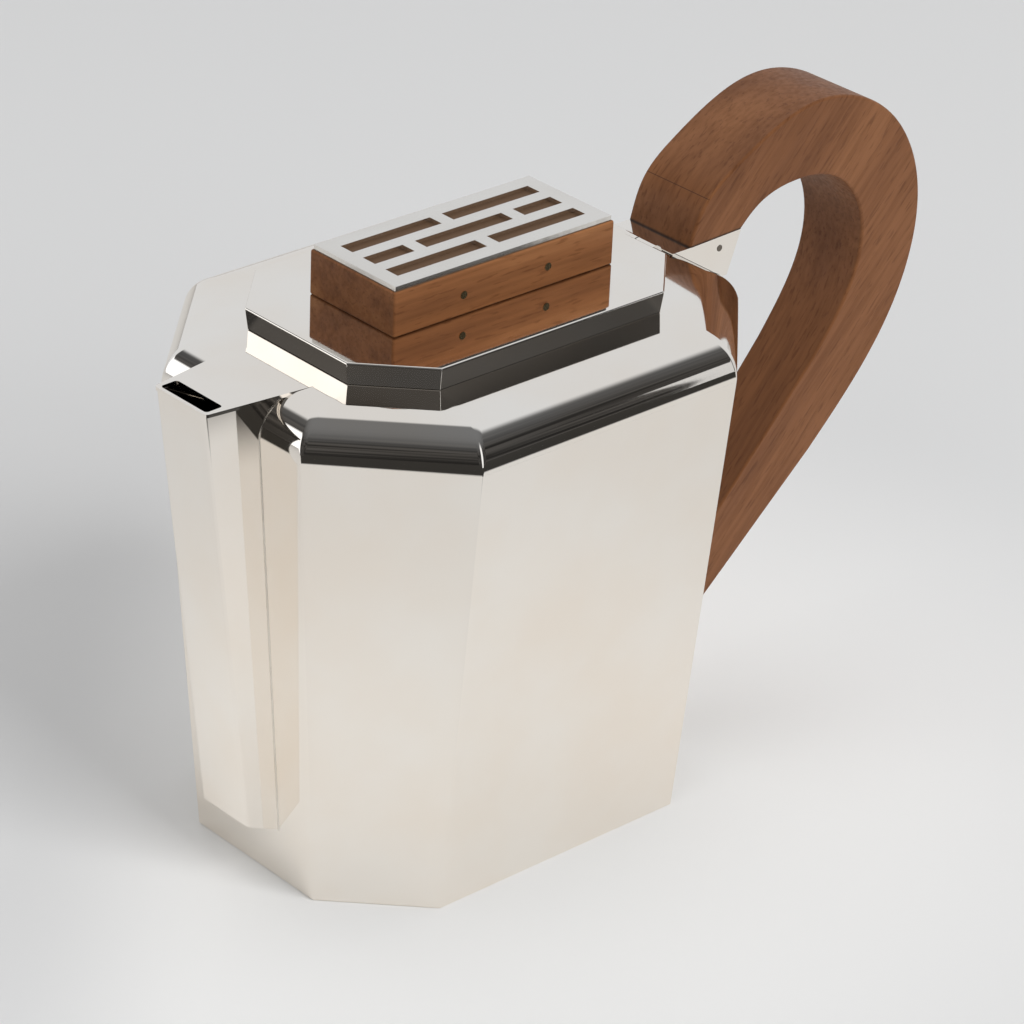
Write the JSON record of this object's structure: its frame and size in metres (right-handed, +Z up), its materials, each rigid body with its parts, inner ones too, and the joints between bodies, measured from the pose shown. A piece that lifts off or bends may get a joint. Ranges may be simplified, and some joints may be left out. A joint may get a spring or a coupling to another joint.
{
  "type": "coffee pot",
  "caption": "Flared eight-sided silver coffee pot with a folded channel spout, a hinged slab lid with a pierced wooden block knob, and a looped wooden handle.",
  "frame": {"origin": "middle of the flat base, on the table", "axes": "+Z up, +X towards the handle, -X towards the spout, +Y across the pot"},
  "size_m": [0.2117, 0.0998, 0.1486],
  "materials": {
    "polished_silver": "mirror polished silver",
    "inner_silver": "plain silver, not polished",
    "silver_pins": "filed flush",
    "brass_pins": "filed flush",
    "handle_wood": "oiled reddish-brown hardwood",
    "knob_wood": "oiled orange-brown hardwood"
  },
  "bodies": {
    "pot": {"body_wall": "polished_silver", "base_plate": "inner_silver", "shoulder_deck": "polished_silver", "opening_collar": "inner_silver", "spout_channel": "polished_silver", "spout_foot": "polished_silver", "spout_top_plate": "polished_silver", "hinge_deck_knuckles": "polished_silver", "hinge_pin": "silver_pins", "upper_socket": "polished_silver", "lower_socket": "polished_silver", "handle": "handle_wood", "upper_handle_pin": "silver_pins", "lower_handle_pin": "silver_pins"},
    "lid": {"lid_shell": "polished_silver", "lid_underplate": "inner_silver", "lid_flange": "inner_silver", "hinge_lid_knuckle": "polished_silver", "knob_lugs": "inner_silver", "knob_block": "knob_wood", "knob_pins": "brass_pins", "knob_plate": "polished_silver", "knob_plate_pegs": "inner_silver"}
  },
  "joints": [
    {"name": "lid_hinge", "type": "hinge", "parent": "pot", "child": "lid", "pos_m": [0.0481, 0, 0.12414], "axis": [0, 1, 0], "range_deg": [0, 95]}
  ]
}
